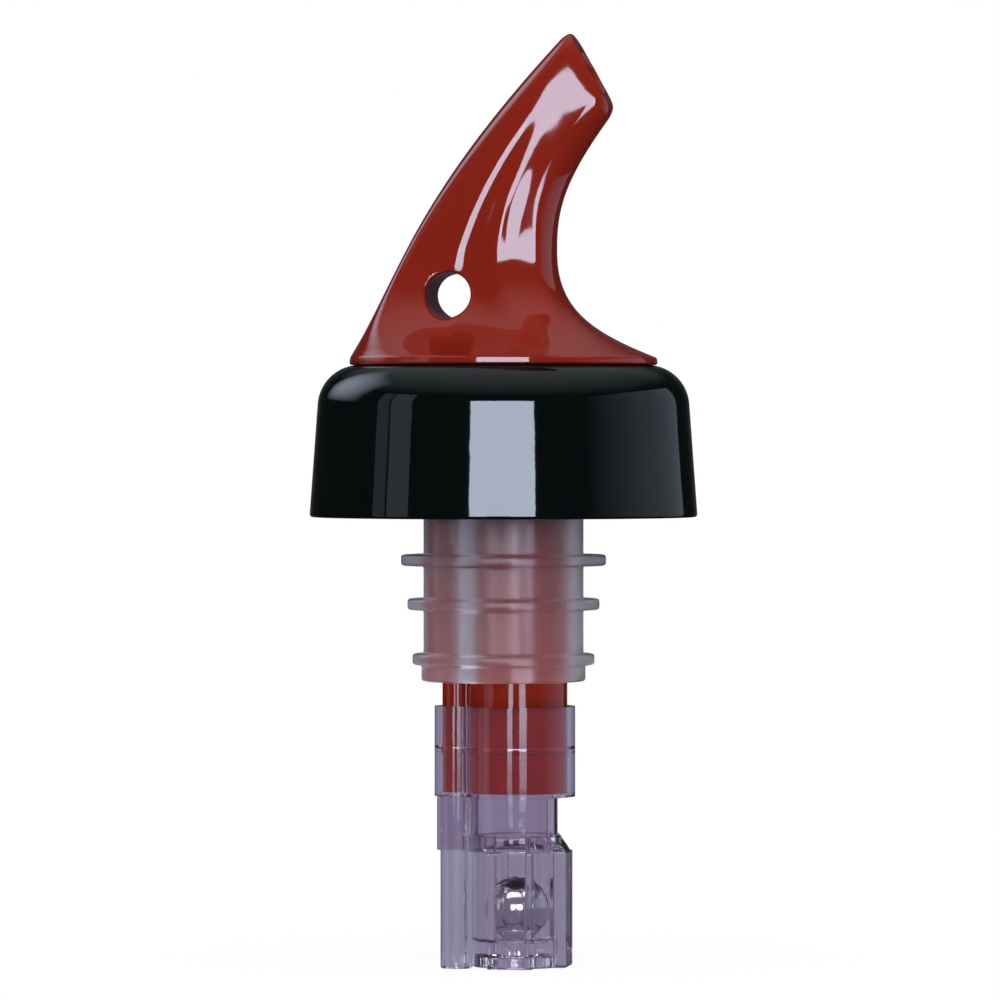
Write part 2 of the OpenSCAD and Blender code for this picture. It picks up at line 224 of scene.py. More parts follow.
class PourerSettings(bpy.types.PropertyGroup):
    """All sizes and finishes of the pourer."""

    stem: PointerProperty(type=StemSizes)
    spout: PointerProperty(type=SpoutSizes)
    collar: PointerProperty(type=CollarSizes)
    cork: PointerProperty(type=CorkSizes)
    chamber: PointerProperty(type=ChamberSizes)
    finish: PointerProperty(type=Finishes)


def pourer():
    """The pourer's sizes and finishes."""
    return bpy.context.scene.pourer


# Node helpers

FLOAT = "NodeSocketFloat"
SHAPE = "NodeSocketGeometry"


def add(tree, kind, values=None, **traits):
    """A node of that kind, with its traits and its unlinked input values."""
    node = tree.nodes.new(kind)
    for key, value in traits.items():
        setattr(node, key, value)
    for key, value in (values or {}).items():
        node.inputs[key].default_value = value
    return node


def join(tree, *pairs):
    """Links each (output, input) pair."""
    for out, into in pairs:
        tree.links.new(out, into)


def maths(tree, operation, *terms):
    """Output of a Math node whose inputs are sockets or numbers."""
    node = add(tree, "ShaderNodeMath", operation=operation)
    for into, term in zip(node.inputs, terms):
        if isinstance(term, (int, float)):
            into.default_value = term
        else:
            tree.links.new(term, into)
    return node.outputs[0]


def layered(tree, shown, layers):
    """Output of shaders laid over each other, each by its own amount."""
    for amount, shader in layers:
        mix = add(tree, "ShaderNodeMixShader")
        join(
            tree,
            (amount, mix.inputs[0]),
            (shown, mix.inputs[1]),
            (shader.outputs[0], mix.inputs[2]),
        )
        shown = mix.outputs[0]
    return shown


def new_group(name, kind, inputs, outputs):
    """A node group with named sockets, the sockets that values enter by and those they leave by."""
    tree = bpy.data.node_groups.new(name, kind)
    for label, sort, default in inputs:
        made = tree.interface.new_socket(label, in_out="INPUT", socket_type=sort)
        if default is not None:
            made.default_value = default
    for label, sort in outputs:
        tree.interface.new_socket(label, in_out="OUTPUT", socket_type=sort)
    return tree, add(tree, "NodeGroupInput").outputs, add(tree, "NodeGroupOutput").inputs


# Shared surface effects


def moulded_skin():
    """Faint flow marks and orange peel of moulded plastic."""
    name = "moulded_skin"
    if name in bpy.data.node_groups:
        return bpy.data.node_groups[name]
    tree, enter, leave = new_group(
        name,
        "ShaderNodeTree",
        [("Peel Scale", FLOAT, 900.0), ("Flow Scale", FLOAT, 120.0)],
        [("Tone", FLOAT), ("Height", FLOAT)],
    )
    place = add(tree, "ShaderNodeTexCoord").outputs["Object"]
    stretch = add(tree, "ShaderNodeMapping", {"Scale": (1.0, 1.0, 0.35)})
    flow = add(tree, "ShaderNodeTexNoise", {"Detail": 3.0, "Roughness": 0.5, "Distortion": 0.6})
    peel = add(tree, "ShaderNodeTexNoise", {"Detail": 2.0, "Roughness": 0.45})
    waves = maths(tree, "MULTIPLY", flow.outputs["Fac"], 3.0)
    join(
        tree,
        (place, stretch.inputs["Vector"]),
        (stretch.outputs["Vector"], flow.inputs["Vector"]),
        (place, peel.inputs["Vector"]),
        (enter["Flow Scale"], flow.inputs["Scale"]),
        (enter["Peel Scale"], peel.inputs["Scale"]),
        (flow.outputs["Fac"], leave["Tone"]),
        (maths(tree, "ADD", waves, peel.outputs["Fac"]), leave["Height"]),
    )
    return tree


def handling_marks():
    """Hair scratches and smudges from use, as a mask."""
    name = "handling_marks"
    if name in bpy.data.node_groups:
        return bpy.data.node_groups[name]
    tree, enter, leave = new_group(
        name,
        "ShaderNodeTree",
        [("Scale", FLOAT, 260.0), ("Cover", FLOAT, 0.35)],
        [("Mask", FLOAT)],
    )
    place = add(tree, "ShaderNodeTexCoord").outputs["Object"]
    scratches = []
    for turn, squeeze in ((0.5, 0.06), (1.9, 0.08)):
        slant = add(tree, "ShaderNodeMapping", {"Rotation": (0.3, turn, 0.2)})
        slant.inputs["Scale"].default_value = (1.0, 1.0, squeeze)
        hair = add(tree, "ShaderNodeTexNoise", {"Detail": 1.0, "Roughness": 0.4})
        line = add(tree, "ShaderNodeMapRange", {"From Min": 0.68, "From Max": 0.74})
        join(
            tree,
            (place, slant.inputs["Vector"]),
            (slant.outputs["Vector"], hair.inputs["Vector"]),
            (enter["Scale"], hair.inputs["Scale"]),
            (hair.outputs["Fac"], line.inputs["Value"]),
        )
        scratches.append(line.outputs["Result"])
    smudge = add(tree, "ShaderNodeTexNoise", {"Scale": 90.0, "Detail": 4.0, "Roughness": 0.6})
    soft = add(tree, "ShaderNodeMapRange", {"From Min": 0.48, "From Max": 0.7})
    join(
        tree,
        (place, smudge.inputs["Vector"]),
        (smudge.outputs["Fac"], soft.inputs["Value"]),
    )
    smudges = maths(tree, "MULTIPLY", soft.outputs["Result"], 0.5)
    marks = maths(tree, "ADD", maths(tree, "MAXIMUM", *scratches), smudges)
    join(tree, (maths(tree, "MULTIPLY", marks, enter["Cover"]), leave["Mask"]))
    return tree


# Materials


def plastic(name, rgb, spread, rough, peel, bump, dulled=0.10, cover=0.35, even=None):
    """A moulded finish: tone drifts by spread, marks dull it, and its skin is faintly uneven.

    even holds the values of the shader's sockets that are the same all over.
    """
    if name in bpy.data.materials:
        return bpy.data.materials[name]
    material = bpy.data.materials.new(name)
    material.use_nodes = True
    tree = material.node_tree
    shader = tree.nodes["Principled BSDF"].inputs
    for key, value in (even or {}).items():
        shader[key].default_value = value
    skin = add(tree, "ShaderNodeGroup", {"Peel Scale": peel}, node_tree=moulded_skin())
    marks = add(tree, "ShaderNodeGroup", {"Cover": cover}, node_tree=handling_marks())
    dark = (*[c * (1 - spread) for c in rgb[:3]], 1.0)
    pale = (*[min(1.0, c * (1 + spread)) for c in rgb[:3]], 1.0)
    tone = add(tree, "ShaderNodeMix", {6: dark, 7: pale}, data_type="RGBA")
    dull = add(tree, "ShaderNodeMapRange", {"To Min": rough, "To Max": rough + dulled})
    relief = add(tree, "ShaderNodeBump", {"Strength": bump, "Distance": 0.0001})
    join(
        tree,
        (skin.outputs["Tone"], tone.inputs[0]),
        (tone.outputs[2], shader["Base Color"]),
        (marks.outputs["Mask"], dull.inputs["Value"]),
        (dull.outputs["Result"], shader["Roughness"]),
        (skin.outputs["Height"], relief.inputs["Height"]),
        (relief.outputs["Normal"], shader["Normal"]),
    )
    return material


def red_gloss():
    """Gloss red plastic of the spout and stem."""
    return plastic(
        "red_gloss", pourer().finish.red, spread=0.10, rough=0.06, peel=700.0, bump=0.05,
        even={"IOR": 1.52},
    )


def black_gloss():
    """Gloss black plastic of the collar."""
    return plastic(
        "black_gloss", pourer().finish.black, spread=0.3, rough=0.04, peel=600.0, bump=0.05,
        cover=0.4, even={"IOR": 1.5},
    )


def milky_cork():
    """Milky, see-through soft plastic of the cork."""
    return plastic(
        "milky_cork", pourer().finish.cork, spread=0.04, rough=0.30, peel=500.0, bump=0.10,
        even={"IOR": 1.45, "Transmission Weight": 0.98},
    )


def clear_plastic(name, rgb, rough):
    """Hard clear plastic that tints what is seen through it, a little more where it is thick."""
    if name in bpy.data.materials:
        return bpy.data.materials[name]
    material = plastic(
        name, rgb, spread=0.02, rough=rough, peel=500.0, bump=0.05, cover=0.3,
        even={"IOR": 1.57, "Transmission Weight": 1.0},
    )
    tree = material.node_tree
    tint = add(tree, "ShaderNodeVolumeAbsorption", {"Color": rgb, "Density": 160.0})
    join(tree, (tint.outputs["Volume"], tree.nodes["Material Output"].inputs["Volume"]))
    return material


def polished_steel():
    """Ball-bearing steel with hair-fine polishing marks."""
    return plastic(
        "polished_steel", pourer().finish.steel, spread=0.05, rough=0.14, peel=1800.0, bump=0.04,
        dulled=0.15, even={"Metallic": 1.0},
    )


# Mesh helpers


@contextmanager
def edited(mesh):
    """A mesh opened for editing and written back at the end."""
    work = bmesh.new()
    work.from_mesh(mesh)
    yield work
    work.to_mesh(mesh)
    work.free()


def piece_of(name, mesh):
    """A new object of a mesh, at the origin."""
    piece = bpy.data.objects.new(name, mesh)
    bpy.context.scene.collection.objects.link(piece)
    return piece


def skin_over(name, rings, loop=False):
    """A closed skin through rings of equal size, capped at its ends or run back to its start."""
    n, count = len(rings[0]), len(rings)
    faces = []
    for k in range(count if loop else count - 1):
        a, b = k * n, (k + 1) % count * n
        faces += [(a + i, a + (i + 1) % n, b + (i + 1) % n, b + i) for i in range(n)]
    if not loop:
        faces += [tuple(range(n)), tuple(range((count - 1) * n, count * n))]
    mesh = bpy.data.meshes.new(name)
    mesh.from_pydata([tuple(v) for v in np.concatenate(rings)], [], faces)
    with edited(mesh) as work:
        bmesh.ops.recalc_face_normals(work, faces=work.faces)
    return piece_of(name, mesh)


def around(n):
    """Angles of n points around a full turn."""
    return np.arange(n) * 2 * math.pi / n


def circle(x, r, z, n):
    """Ring of n points about an upright line."""
    a = around(n)
    return np.stack([x + r * np.cos(a), r * np.sin(a), np.full(n, z)], 1)


def rod(x, r, low, high, n=96, r_high=None):
    """Upright round rod or cone, as a cutter or a blank."""
    r_high = r if r_high is None else r_high
    return skin_over("rod", [circle(x, r, low, n), circle(x, r_high, high, n)])


def keyhole(grow, z, n=72):
    """Ring around the twin-bore stem's outline, grown outwards."""
    s = pourer().stem
    big, small = s.main_r + grow, s.lobe_r + grow
    gap = s.line_x - s.vent_x
    along = (gap * gap + big * big - small * small) / (2 * gap)
    cross = math.sqrt(max(big * big - along * along, 0.0))
    half = max(cross, s.web_half + grow)
    front = math.pi - math.asin(half / big)
    back = math.asin(half / small)
    a = np.linspace(front, -front, n)
    b = np.linspace(-back, back - 2 * math.pi, n // 2)
    x = np.concatenate([s.line_x + big * np.cos(a), s.vent_x + small * np.cos(b)])
    y = np.concatenate([big * np.sin(a), small * np.sin(b)])
    return np.stack([x, y, np.full(len(x), z)], 1)


def keyhole_bar(grow, low, high):
    """Upright bar with the stem's outline."""
    return skin_over("bar", [keyhole(grow, low), keyhole(grow, high)])


def block(low, high):
    """Box between two corners, as a cutter or a blank."""
    ring = [(low[0], low[1]), (high[0], low[1]), (high[0], high[1]), (low[0], high[1])]
    return skin_over("block", [np.array([(*p, z) for p in ring]) for z in (low[2], high[2])])


def bake(piece):
    """Applies a piece's modifiers to its mesh."""
    graph = bpy.context.evaluated_depsgraph_get()
    graph.update()
    mesh = bpy.data.meshes.new_from_object(piece.evaluated_get(graph), depsgraph=graph)
    old = piece.data
    piece.modifiers.clear()
    piece.data = mesh
    bpy.data.meshes.remove(old)
    mesh.name = piece.name


def combine(piece, operation, *tools):
    """Adds tools to a piece or cuts them from it, and removes them."""
    for tool in tools:
        step = piece.modifiers.new("shape", "BOOLEAN")
        step.operation = operation
        step.solver = "MANIFOLD"
        step.object = tool
        bake(piece)
        if not piece.data.polygons:
            raise RuntimeError(f"{piece.name} lost its faces to {tool.name}")
        shape = tool.data
        bpy.data.objects.remove(tool)
        bpy.data.meshes.remove(shape)


def soften(piece, edge=0.0, steps=3):
    """Welds a piece, rounds its sharp edges and smooths its shading."""
    with edited(piece.data) as work:
        bmesh.ops.remove_doubles(work, verts=work.verts, dist=WELD)
        bmesh.ops.dissolve_degenerate(work, edges=work.edges, dist=WELD)
    if edge:
        bevel = piece.modifiers.new("edge", "BEVEL")
        bevel.width = edge
        bevel.segments = steps
        bevel.limit_method = "ANGLE"
        bevel.angle_limit = math.radians(CREASE)
        bevel.miter_outer = "MITER_ARC"
        bake(piece)
    smooth(piece)


def smooth(piece, angle=CREASE):
    """Smooth shading that keeps flat faces flat next to their rounded edges."""
    piece.data.shade_smooth()
    piece.data.set_sharp_from_angle(angle=math.radians(angle))
    even = piece.modifiers.new("even", "WEIGHTED_NORMAL")
    even.keep_sharp = True
    bake(piece)


def finish_piece(piece, material, body, node):
    """Gives a piece its material and its place on the object."""
    piece.data.materials.clear()
    piece.data.materials.append(material)
    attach(piece, body)
    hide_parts(node)


# Turned pieces

EDGE_STEPS, SHOULDER_STEPS = 4, 20
SHOULDER_SIZE = 0.001  # a rounding from this size on is a shoulder


def turned_tree():
    """Geometry Nodes: turns a profile of [radius, height] corners about an upright line."""
    name = "turned_piece"
    if name in bpy.data.node_groups:
        return bpy.data.node_groups[name]
    tree, enter, leave = new_group(
        name,
        "GeometryNodeTree",
        [
            ("Profile", SHAPE, None),
            ("Steps Around", "NodeSocketInt", 160),
            ("Line", FLOAT, 0.0),
            ("Finish", "NodeSocketMaterial", None),
        ],
        [("Piece", SHAPE)],
    )
    outline = add(tree, "GeometryNodeMeshToCurve")
    named = "GeometryNodeInputNamedAttribute"
    radius = add(tree, named, {"Name": "edge"}, data_type="FLOAT")
    count = add(tree, named, {"Name": "edge_steps"}, data_type="INT")
    rounded = add(tree, "GeometryNodeFilletCurve", {"Limit Radius": True}, mode="POLY")
    inward = add(tree, "GeometryNodeTransform", {"Translation": (-MM, 0.0, 0.0)})
    path = add(tree, "GeometryNodeCurvePrimitiveCircle", {"Radius": MM})
    upright = add(tree, "GeometryNodeSetCurveNormal", mode="Z_UP")
    turn = add(tree, "GeometryNodeCurveToMesh")
    shift = add(tree, "ShaderNodeCombineXYZ")
    place = add(tree, "GeometryNodeTransform")
    real = add(tree, "GeometryNodeRealizeInstances")
    coat = add(tree, "GeometryNodeSetMaterial")
    join(
        tree,
        (enter["Profile"], outline.inputs["Mesh"]),
        (outline.outputs["Curve"], rounded.inputs["Curve"]),
        (radius.outputs["Attribute"], rounded.inputs["Radius"]),
        (count.outputs["Attribute"], rounded.inputs["Count"]),
        (rounded.outputs["Curve"], inward.inputs["Geometry"]),
        (enter["Steps Around"], path.inputs["Resolution"]),
        (path.outputs["Curve"], upright.inputs["Curve"]),
        (upright.outputs["Curve"], turn.inputs["Curve"]),
        (inward.outputs["Geometry"], turn.inputs["Profile Curve"]),
        (turn.outputs["Mesh"], place.inputs["Geometry"]),
        (enter["Line"], shift.inputs["X"]),
        (shift.outputs["Vector"], place.inputs["Translation"]),
        (place.outputs["Geometry"], real.inputs["Geometry"]),
        (real.outputs["Geometry"], coat.inputs["Geometry"]),
        (enter["Finish"], coat.inputs["Material"]),
        (coat.outputs["Geometry"], leave["Piece"]),
    )
    return tree


def rib_outline():
    """Geometry Nodes: how far flat ribs stand out from a round wall, as a share of its radius."""
    name = "rib_outline"
    if name in bpy.data.node_groups:
        return bpy.data.node_groups[name]
    tree, enter, leave = new_group(
        name,
        "GeometryNodeTree",
        [(size, FLOAT, MM) for size in ("Angle", "Radius", "Width", "Reach", "Edge")],
        [("Share", FLOAT)],
    )
    least_sine = 0.02
    eighth = math.pi / 4
    fold = maths(tree, "WRAP", enter["Angle"], eighth, -eighth)
    face = maths(tree, "DIVIDE", enter["Reach"], maths(tree, "COSINE", fold))
    sine = maths(tree, "ABSOLUTE", maths(tree, "SINE", fold))
    half = maths(tree, "MULTIPLY", enter["Width"], 0.5)
    side = maths(tree, "DIVIDE", half, maths(tree, "MAXIMUM", sine, least_sine))
    corner = maths(tree, "SMOOTH_MIN", face, side, enter["Edge"])
    # no rib at the back, where the breather tube stands
    back = maths(tree, "GREATER_THAN", maths(tree, "ABSOLUTE", enter["Angle"]), 3 * eighth)
    ribs = maths(tree, "MULTIPLY", corner, maths(tree, "SUBTRACT", 1.0, back))
    outline = maths(tree, "SMOOTH_MAX", ribs, enter["Radius"], enter["Edge"])
    share = maths(tree, "DIVIDE", outline, enter["Radius"])
    join(tree, (maths(tree, "SUBTRACT", share, 1.0), leave["Share"]))
    return tree


def ribbed_tree():
    """Geometry Nodes: turns the cup, pushes its wall out to ribs and drills its bleed holes."""
    name = "ribbed_cup"
    if name in bpy.data.node_groups:
        return bpy.data.node_groups[name]
    sizes = (
        "Cup Radius", "Rib Width", "Rib Reach", "Bore Radius", "Flute Width", "Flute Reach",
        "Rib Edge", "Line", "Bleed Radius", "Bleed Spacing", "Floor",
    )
    tree, enter, leave = new_group(
        name,
        "GeometryNodeTree",
        [
            ("Profile", SHAPE, None),
            *[(size, FLOAT, MM) for size in sizes],
            ("Steps Around", "NodeSocketInt", 360),
            ("Finish", "NodeSocketMaterial", None),
        ],
        [("Piece", SHAPE)],
    )
    turn = add(tree, "GeometryNodeGroup", node_tree=turned_tree())
    spot = add(tree, "GeometryNodeInputPosition")
    part = add(tree, "ShaderNodeSeparateXYZ")
    join(
        tree,
        (enter["Profile"], turn.inputs["Profile"]),
        (enter["Steps Around"], turn.inputs["Steps Around"]),
        (enter["Finish"], turn.inputs["Finish"]),
        (spot.outputs["Position"], part.inputs["Vector"]),
    )
    x, y = part.outputs["X"], part.outputs["Y"]
    angle = maths(tree, "ARCTAN2", y, x)
    grow = 1.0
    for weight, base, width, reach in (
        ("wall", "Cup Radius", "Rib Width", "Rib Reach"),
        ("flute", "Bore Radius", "Flute Width", "Flute Reach"),
    ):
        named = "GeometryNodeInputNamedAttribute"
        follows = add(tree, named, {"Name": weight}, data_type="FLOAT")
        ribs = add(tree, "GeometryNodeGroup", node_tree=rib_outline())
        join(
            tree,
            (angle, ribs.inputs["Angle"]),
            (enter[base], ribs.inputs["Radius"]),
            (enter[width], ribs.inputs["Width"]),
            (enter[reach], ribs.inputs["Reach"]),
            (enter["Rib Edge"], ribs.inputs["Edge"]),
        )
        share = maths(tree, "MULTIPLY", ribs.outputs["Share"], follows.outputs["Attribute"])
        grow = maths(tree, "ADD", grow, share)
    moved = add(tree, "ShaderNodeCombineXYZ")
    push = add(tree, "GeometryNodeSetPosition")
    drill = add(tree, "GeometryNodeMeshCylinder", {"Vertices": 32, "Depth": 0.008})
    row = add(tree, "GeometryNodeMeshLine", {"Count": 2})
    start = add(tree, "ShaderNodeCombineXYZ")
    pitch = add(tree, "ShaderNodeCombineXYZ")
    holes = add(tree, "GeometryNodeInstanceOnPoints")
    real = add(tree, "GeometryNodeRealizeInstances")
    cut = add(tree, "GeometryNodeMeshBoolean", operation="DIFFERENCE", solver="MANIFOLD")
    shift = add(tree, "ShaderNodeCombineXYZ")
    place = add(tree, "GeometryNodeTransform")
    last = add(tree, "GeometryNodeRealizeInstances")
    coat = add(tree, "GeometryNodeSetMaterial")
    join(
        tree,
        (maths(tree, "MULTIPLY", x, grow), moved.inputs["X"]),
        (maths(tree, "MULTIPLY", y, grow), moved.inputs["Y"]),
        (part.outputs["Z"], moved.inputs["Z"]),
        (turn.outputs["Piece"], push.inputs["Geometry"]),
        (moved.outputs["Vector"], push.inputs["Position"]),
        (enter["Bleed Radius"], drill.inputs["Radius"]),
        (maths(tree, "MULTIPLY", enter["Bleed Spacing"], -0.5), start.inputs["X"]),
        (enter["Floor"], start.inputs["Z"]),
        (enter["Bleed Spacing"], pitch.inputs["X"]),
        (start.outputs["Vector"], row.inputs["Start Location"]),
        (pitch.outputs["Vector"], row.inputs["Offset"]),
        (row.outputs["Mesh"], holes.inputs["Points"]),
        (drill.outputs["Mesh"], holes.inputs["Instance"]),
        (holes.outputs["Instances"], real.inputs["Geometry"]),
        (push.outputs["Geometry"], cut.inputs["Mesh 1"]),
        (real.outputs["Geometry"], cut.inputs["Mesh 2"]),
        (cut.outputs["Mesh"], place.inputs["Geometry"]),
        (enter["Line"], shift.inputs["X"]),
        (shift.outputs["Vector"], place.inputs["Translation"]),
        (place.outputs["Geometry"], last.inputs["Geometry"]),
        (last.outputs["Geometry"], coat.inputs["Geometry"]),
        (enter["Finish"], coat.inputs["Material"]),
        (coat.outputs["Geometry"], leave["Piece"]),
    )
    return tree


def turn_profile(name, corners, tree, inputs):
    """A turned mesh from corners of (radius, height, rounding, share of ribs, share of flutes)."""
    corners = [(*c, *[0.0] * (5 - len(c))) for c in corners]
    n = len(corners)
    mesh = bpy.data.meshes.new(name)
    mesh.from_pydata(
        [(c[0], -c[1], 0.0) for c in corners], [(i, (i + 1) % n) for i in range(n)], []
    )
    steps = [EDGE_STEPS if c[2] < SHOULDER_SIZE else SHOULDER_STEPS for c in corners]
    for key, kind, values in (
        ("edge", "FLOAT", [c[2] for c in corners]),
        ("edge_steps", "INT", steps),
        ("wall", "FLOAT", [c[3] for c in corners]),
        ("flute", "FLOAT", [c[4] for c in corners]),
    ):
        mesh.attributes.new(key, kind, "POINT").data.foreach_set("value", values)
    piece = piece_of(name, mesh)
    maker = piece.modifiers.new("turn", "NODES")
    maker.node_group = tree
    for item in tree.interface.items_tree:
        if item.item_type == "SOCKET" and item.in_out == "INPUT" and item.name in inputs:
            maker[item.identifier] = inputs[item.name]
    bake(piece)
    with edited(piece.data) as work:
        bmesh.ops.remove_doubles(work, verts=work.verts, dist=WELD / 2)
        bmesh.ops.recalc_face_normals(work, faces=work.faces)
    return piece


def turned(name, corners, line, steps, material):
    """A plain turned piece about an upright line."""
    inputs = {"Steps Around": steps, "Line": line, "Finish": material}
    return turn_profile(name, corners, turned_tree(), inputs)


# Spout shape


def bend(points, t):
    """Points at t on a cubic curve through four control points."""
    t = np.asarray(t, float)[..., None]
    s = 1 - t
    a, b, c, d = [np.asarray(q, float) for q in points]
    return s**3 * a + 3 * t * s**2 * b + 3 * t * t * s * c + t**3 * d


def swell(u, g, height, place, drift, width):
    """A soft rise around a place that drifts back with g."""
    return height * np.exp(-(((u - place + drift * g) / width) ** 2))


class SpoutForm:
    """The spout's sections, as curves in its plane of symmetry and thicknesses across it."""

    # lower curves: shares of the climb to the waist and of the flare at their four points
    LOW_CLIMB = (0, 0.25, 0.48, 1)
    LOW_FRONT = (1, 0.29, -0.01, 0)
    LOW_BACK = (1, 0.69, 0.52, 0)
    # upper curves and duct: share of the rise at the first handle, then how far the second
    # stands in and down from the end
    HIGH_BACK = (0.36, 0.4, 0.315)
    HIGH_FRONT = (0.295, 0.86, 0.485)
    DUCT = (0.42, 0.8, 0.33)
    # the flanks are slimmest at SLIM, between waist (1) and mouth (2)
    SLIM = 1.5
    FLARE_POWER, TAPER_POWER = 4.6, 4
    # relief of the flanks, as height, place, drift and width; it fades out above the waist
    BULGE = (0.18, 0.646, 0.36, 0.26)
    RIDGE = (0.04, -0.077, 0.18, 0.11)
    RIDGE_GROWTH, FORWARD = 1.75, 0.12
    FADE_START, FADE_LENGTH = 1.2, 0.6
    # how squarely flanks and edges meet, and how fast the round skirt turns into flanks
    EDGE_POWER, SKIRT_POWER = 7, 12
    RIM_STRETCH = 1.7

    def __init__(self):
        p = pourer()
        s, stem = p.spout, p.stem
        self.s, self.stem = s, stem
        self.top = p.collar.top
        self.edge_z = self.top + s.skirt_edge
        self.waist_z = self.top + s.waist_h
        sin, cos = math.sin(s.mouth_lean), math.cos(s.mouth_lean)
        self.lip = np.array([s.reach, self.top + s.height - s.mouth_len * cos])
        self.apex = self.lip + s.mouth_len * np.array([-sin, cos])
        self.mid = (self.lip + self.apex) / 2
        self.facing = np.array([cos, sin])
        climb = self.waist_z - self.edge_z
        lean = (s.skirt_r - s.waist_back) / climb
        z = [self.edge_z + k * climb for k in self.LOW_CLIMB]
        front = [s.waist_front + k * (s.skirt_r - s.waist_front) for k in self.LOW_FRONT]
        back = [-s.waist_back - k * (s.skirt_r - s.waist_back) for k in self.LOW_BACK]
        self.front_low = list(zip(front, z))
        self.back_low = list(zip(back, z))
        rise = self.apex[1] - self.waist_z
        self.rim_share = self.RIM_STRETCH * s.mouth_rim / rise
        self.back_high = self.run((-s.waist_back, self.waist_z), self.apex, self.HIGH_BACK, lean)
        self.front_high = self.run((s.waist_front, self.waist_z), self.lip, self.HIGH_FRONT)
        self.path = self.run((stem.line_x, stem.top), self.mid, self.DUCT)
        self.path[0] = np.array([stem.line_x, stem.top - OVERRUN])

    @staticmethod
    def run(start, end, handles, lean=0.0):
        """Control points of a curve that sets out upwards, or leaning, and bends to its end."""
        up, over, down = handles
        start = np.array(start)
        span = end - start
        first = start + up * span[1] * np.array([lean, 1.0])
        return [start, first, end - np.array([over, down]) * span, end]

    def half(self, g):
        """Half thickness of the flanks at g: 0 the skirt, 1 the waist, 2 the mouth."""
        s = self.s
        flare = max(0.0, 1 - g / self.SLIM) ** self.FLARE_POWER
        taper = max(0.0, (g - self.SLIM) / (2 - self.SLIM)) ** self.TAPER_POWER
        slim = s.waist_half
        return slim + (s.skirt_r - slim) * flare - (slim - s.mouth_half) * taper

    def section(self, back, front, g, n):
        """Ring between a back and a front point, its flanks with the duct's bulge and a ridge."""
        u, v = np.cos(around(n)), np.sin(around(n))
        t = min(1.0, max(0.0, (g - self.FADE_START) / self.FADE_LENGTH))
        relief = 1 - min(0.0, g - 1) ** 4 - t * t * (3 - 2 * t)
        ridge = swell(u, g, *self.RIDGE) * (1 + self.RIDGE_GROWTH * max(0.0, g - 1))
        raised = self.FORWARD * u + swell(u, g, *self.BULGE) + ridge
        flat = self.half(g) * (1 + relief * raised)
        # the round section is held to the flat flanks, except at the round skirt
        arc = np.linalg.norm(front - back) / 2 * np.abs(v)
        hold = 1 - max(0.0, 1 - g) ** self.SKIRT_POWER
        y = arc / (1 + hold * (arc / flat) ** self.EDGE_POWER) ** (1 / self.EDGE_POWER)
        q = (back + front) / 2 + u[:, None] * (front - back) / 2
        return np.stack([q[:, 0], np.sign(v) * y, q[:, 1]], 1)

    def low(self, t, n):
        """Section below the waist."""
        return self.section(bend(self.back_low, t), bend(self.front_low, t), t, n)

    def high(self, t, n):
        """Section above the waist."""
        return self.section(bend(self.back_high, t), bend(self.front_high, t), 1 + t, n)

    def flank(self, x, z):
        """Half thickness of the spout at a point below its waist."""
        low, high = 0.0, 1.0
        for _ in range(40):
            t = (low + high) / 2
            low, high = (t, high) if bend(self.back_low, t)[1] < z else (low, t)
        ring = self.low(t, 720)[:361]
        order = np.argsort(ring[:, 0])
        return float(np.interp(x, ring[order, 0], ring[order, 1]))

    def draw_in(self, ring, by):
        """Mouth outline drawn in towards its middle."""
        c = np.array([self.mid[0], 0.0, self.mid[1]])
        return c + (ring - c) * (1 - 2 * by / self.s.mouth_len)

    def duct(self, t, n, extra=0.0, sink=None):
        """Ring of the duct at t from stem to mouth, or laid a sink below the mouth's face."""
        c = bend(self.path, t)
        d = bend(self.path, t + 0.01) - bend(self.path, t - 0.01)
        d /= np.linalg.norm(d)
        radius = self.stem.bore_r + (self.s.duct_r - self.stem.bore_r) * t + extra
        u, v = radius * np.cos(around(n)), radius * np.sin(around(n))
        q = c + u[:, None] * np.array([d[1], -d[0]])
        if sink is not None:
            away = (q - self.mid) @ self.facing + sink
            q = q - (away / (d @ self.facing))[:, None] * d
        return np.stack([q[:, 0], v, q[:, 1]], 1)


def spout_shell(form, n=192):
    """The spout's outside, mouth and duct as one closed skin."""
    s, stem = form.s, form.stem
    r, bottom = s.skirt_r, form.top
    foot_edge, rim_edge, duct_edge = 0.00015, 0.00005, 0.0006
    rings = [
        circle(0, r - foot_edge, bottom, n),
        circle(0, r, bottom + foot_edge, n),
        circle(0, r - rim_edge, form.edge_z - 0.00008, n),
    ]
    # the skirt's upper edge is drawn in a little
    rim = np.array([-rim_edge / r, -rim_edge / r, 0.0])
    for t in np.linspace(0.006, 1, 52):
        rings.append(form.low(t, n) * (1 + rim * max(0.0, 1 - 12 * t)))
    rings += [form.high(t, n) for t in np.linspace(0, 1 - form.rim_share, 46)[1:]]
    quarter = np.linspace(0, math.pi / 2, 8)
    for a in quarter[1:]:
        ring = form.high(1 - form.rim_share * (1 - math.sin(a)), n)
        rings.append(form.draw_in(ring, s.mouth_rim * (1.05 - math.cos(a))))
    # duct, from its rounded edge at the mouth down to the stem
    for a in quarter:
        extra, sink = duct_edge * (1 - math.sin(a)), duct_edge * (1 - math.cos(a))
        rings.append(form.duct(1.0, n, extra, sink))
    rings += [form.duct(t, n) for t in np.linspace(0.84, 0.0, 24)]
    rings.append(circle(stem.line_x, stem.bore_r, bottom, n))
    return skin_over("spout_shell", rings, loop=True)


